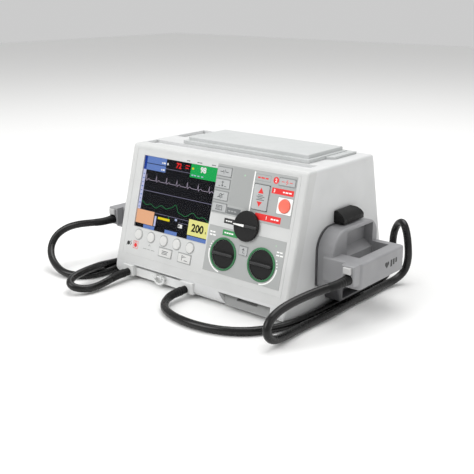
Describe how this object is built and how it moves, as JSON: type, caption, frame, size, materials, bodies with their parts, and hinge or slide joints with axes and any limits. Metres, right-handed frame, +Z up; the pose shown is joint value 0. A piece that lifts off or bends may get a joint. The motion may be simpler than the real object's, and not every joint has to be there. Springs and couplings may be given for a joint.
{
  "type": "portable defibrillator",
  "caption": "Portable monitor defibrillator: leaning case with screen, keys and knobs, two cabled hand paddles in side holders, battery pack and paper recorder in the roof.",
  "frame": {"origin": "on the surface the rubber feet stand on, under the middle of the object without its cords", "axes": "+X to the user's right across the control panel, +Y to the back, +Z up"},
  "size_m": [0.4116, 0.3466, 0.1681],
  "materials": {
    "case_shell": "fine satin texture",
    "panel_shell": "fine satin texture",
    "rear_plastic": "satin",
    "window_glass": "clear, glossy",
    "display_black": "matt black",
    "label_film": "satin printed film",
    "ring_green": "clear green",
    "key_plastic": "satin",
    "softkey_plastic": "satin",
    "shock_red": "satin",
    "knob_black": "satin black",
    "ring_white": "satin",
    "holder_grey": "satin",
    "paddle_grey": "fine satin texture",
    "shock_key_grey": "satin",
    "electrode_steel": "brushed",
    "gland_rubber": "matt",
    "cable_rubber": "glossy black",
    "battery_shell": "fine satin texture",
    "mechanism_black": "matt",
    "paper_white": "matt paper",
    "chassis_steel": "zinc plated sheet",
    "board_green": "solder mask",
    "capacitor_can": "plain can",
    "winding_copper": "lacquered copper",
    "foot_rubber": "matt"
  },
  "bodies": {
    "case": {"front_panel": "panel_shell", "main_housing": "case_shell", "base_tray": "case_shell", "rear_panel": "rear_plastic", "display_window": "window_glass", "display_module": "display_black", "key_label": "label_film", "pacer_label": "label_film", "pacer_rings": "ring_green", "rotary_controls": "mechanism_black", "control_board": "board_green", "battery_contacts": "winding_copper", "recorder_mechanism": "mechanism_black", "paper_roll": "paper_white", "chassis_frame": "chassis_steel", "main_board": "board_green", "hv_capacitor": "capacitor_can", "hv_inductor": "winding_copper", "speaker": "mechanism_black", "case_screws": "chassis_steel", "rubber_feet": "foot_rubber", "cable_connector": "case_shell", "cord_glands": "gland_rubber", "card_slot": "holder_grey", "right_holder": "holder_grey", "left_holder": "holder_grey", "right_cord": "cable_rubber", "left_cord": "cable_rubber"},
    "lead_key": {"lead_key": "key_plastic"},
    "size_key": {"size_key": "key_plastic"},
    "alarm_key": {"alarm_key": "key_plastic"},
    "recorder_key": {"recorder_key": "key_plastic"},
    "charge_key": {"charge_key": "key_plastic"},
    "pacer_test_key": {"pacer_test_key": "key_plastic"},
    "summary_key": {"summary_key": "key_plastic"},
    "marker_key": {"marker_key": "key_plastic"},
    "softkey_1": {"softkey_1": "softkey_plastic"},
    "softkey_2": {"softkey_2": "softkey_plastic"},
    "softkey_3": {"softkey_3": "softkey_plastic"},
    "softkey_4": {"softkey_4": "softkey_plastic"},
    "softkey_5": {"softkey_5": "softkey_plastic"},
    "shock_button": {"shock_button": "shock_red"},
    "energy_rocker": {"energy_rocker": "key_plastic"},
    "selector_knob": {"selector_knob": "knob_black"},
    "output_knob": {"output_knob": "knob_black"},
    "rate_knob": {"rate_knob": "knob_black"},
    "connector_ring": {"connector_ring": "ring_white"},
    "battery_pack": {"battery_pack": "battery_shell"},
    "recorder_door": {"recorder_door": "battery_shell"},
    "right_latch": {"right_latch": "knob_black"},
    "left_latch": {"left_latch": "knob_black"},
    "right_paddle": {"right_paddle": "paddle_grey", "right_electrode": "electrode_steel", "right_relief": "gland_rubber"},
    "right_shock_key": {"right_shock_key": "shock_key_grey"},
    "left_paddle": {"left_paddle": "paddle_grey", "left_electrode": "electrode_steel", "left_relief": "gland_rubber"},
    "left_shock_key": {"left_shock_key": "shock_key_grey"}
  },
  "joints": [
    {"name": "lead_key_press", "type": "slide", "parent": "case", "child": "lead_key", "axis": [0, 0.9663, -0.2574], "range_m": [0, 0.0008], "stiffness_N_per_m": 800, "springref_m": -0.0006},
    {"name": "size_key_press", "type": "slide", "parent": "case", "child": "size_key", "axis": [0, 0.9663, -0.2574], "range_m": [0, 0.0008], "stiffness_N_per_m": 800, "springref_m": -0.0006},
    {"name": "alarm_key_press", "type": "slide", "parent": "case", "child": "alarm_key", "axis": [0, 0.9663, -0.2574], "range_m": [0, 0.0008], "stiffness_N_per_m": 800, "springref_m": -0.0006},
    {"name": "recorder_key_press", "type": "slide", "parent": "case", "child": "recorder_key", "axis": [0, 0.9663, -0.2574], "range_m": [0, 0.0008], "stiffness_N_per_m": 800, "springref_m": -0.0006},
    {"name": "charge_key_press", "type": "slide", "parent": "case", "child": "charge_key", "axis": [0, 0.9663, -0.2574], "range_m": [0, 0.0008], "stiffness_N_per_m": 800, "springref_m": -0.0006},
    {"name": "pacer_test_key_press", "type": "slide", "parent": "case", "child": "pacer_test_key", "axis": [0, 0.9663, -0.2574], "range_m": [0, 0.0008], "stiffness_N_per_m": 800, "springref_m": -0.0006},
    {"name": "summary_key_press", "type": "slide", "parent": "case", "child": "summary_key", "axis": [0, 0.9663, -0.2574], "range_m": [0, 0.0008], "stiffness_N_per_m": 800, "springref_m": -0.0006},
    {"name": "marker_key_press", "type": "slide", "parent": "case", "child": "marker_key", "axis": [0, 0.9663, -0.2574], "range_m": [0, 0.0008], "stiffness_N_per_m": 800, "springref_m": -0.0006},
    {"name": "softkey_1_press", "type": "slide", "parent": "case", "child": "softkey_1", "axis": [0, 0.9663, -0.2574], "range_m": [0, 0.0008], "stiffness_N_per_m": 800, "springref_m": -0.0006},
    {"name": "softkey_2_press", "type": "slide", "parent": "case", "child": "softkey_2", "axis": [0, 0.9663, -0.2574], "range_m": [0, 0.0008], "stiffness_N_per_m": 800, "springref_m": -0.0006},
    {"name": "softkey_3_press", "type": "slide", "parent": "case", "child": "softkey_3", "axis": [0, 0.9663, -0.2574], "range_m": [0, 0.0008], "stiffness_N_per_m": 800, "springref_m": -0.0006},
    {"name": "softkey_4_press", "type": "slide", "parent": "case", "child": "softkey_4", "axis": [0, 0.9663, -0.2574], "range_m": [0, 0.0008], "stiffness_N_per_m": 800, "springref_m": -0.0006},
    {"name": "softkey_5_press", "type": "slide", "parent": "case", "child": "softkey_5", "axis": [0, 0.9663, -0.2574], "range_m": [0, 0.0008], "stiffness_N_per_m": 800, "springref_m": -0.0006},
    {"name": "shock_button_press", "type": "slide", "parent": "case", "child": "shock_button", "axis": [0, 0.9663, -0.2574], "range_m": [0, 0.0015], "stiffness_N_per_m": 700, "springref_m": -0.0008},
    {"name": "energy_rocker_tilt", "type": "hinge", "parent": "case", "child": "energy_rocker", "pos_m": [0.0746, -0.06524, 0.12494], "axis": [1, 0, 0], "range_deg": [-2.5, 2.5], "stiffness_Nm_per_rad": 0.05},
    {"name": "selector_turn", "type": "hinge", "parent": "case", "child": "selector_knob", "pos_m": [0.0633, -0.07789, 0.09375], "axis": [0, -0.9663, 0.2574], "range_deg": [-150, 30]},
    {"name": "output_turn", "type": "hinge", "parent": "case", "child": "output_knob", "pos_m": [0.0362, -0.08726, 0.05857], "axis": [0, -0.9663, 0.2574], "range_deg": [-135, 135]},
    {"name": "rate_turn", "type": "hinge", "parent": "case", "child": "rate_knob", "pos_m": [0.09, -0.08741, 0.05799], "axis": [0, -0.9663, 0.2574], "range_deg": [-135, 135]},
    {"name": "connector_ring_swing", "type": "hinge", "parent": "case", "child": "connector_ring", "pos_m": [-0.055, -0.0989, 0.0136], "axis": [-1, 0, 0], "range_deg": [0, 75]},
    {"name": "battery_pull", "type": "slide", "parent": "case", "child": "battery_pack", "axis": [0, 0, 1], "range_m": [0, 0.045]},
    {"name": "recorder_door_swing", "type": "hinge", "parent": "case", "child": "recorder_door", "pos_m": [-0.1055, 0.0566, 0.1537], "axis": [-1, 0, 0], "range_deg": [0, 75]},
    {"name": "right_latch_swing", "type": "hinge", "parent": "case", "child": "right_latch", "pos_m": [0.1334, 0.00675, 0.1082], "axis": [0, -1, 0], "range_deg": [0, 20], "stiffness_Nm_per_rad": 0.3, "springref_deg": -2.86},
    {"name": "right_paddle_pull", "type": "slide", "parent": "case", "child": "right_paddle", "axis": [1, 0, 0], "range_m": [0, 0.03], "deforming": ["right_cord"]},
    {"name": "right_shock_key_press", "type": "slide", "parent": "right_paddle", "child": "right_shock_key", "axis": [0, 1, 0], "range_m": [0, 0.0015], "stiffness_N_per_m": 700, "springref_m": -0.0008},
    {"name": "left_latch_swing", "type": "hinge", "parent": "case", "child": "left_latch", "pos_m": [-0.1334, 0.00675, 0.1082], "axis": [0, 1, 0], "range_deg": [0, 20], "stiffness_Nm_per_rad": 0.3, "springref_deg": -2.86},
    {"name": "left_paddle_pull", "type": "slide", "parent": "case", "child": "left_paddle", "axis": [-1, 0, 0], "range_m": [0, 0.03], "deforming": ["left_cord"]},
    {"name": "left_shock_key_press", "type": "slide", "parent": "left_paddle", "child": "left_shock_key", "axis": [0, 1, 0], "range_m": [0, 0.0015], "stiffness_N_per_m": 700, "springref_m": -0.0008}
  ]
}
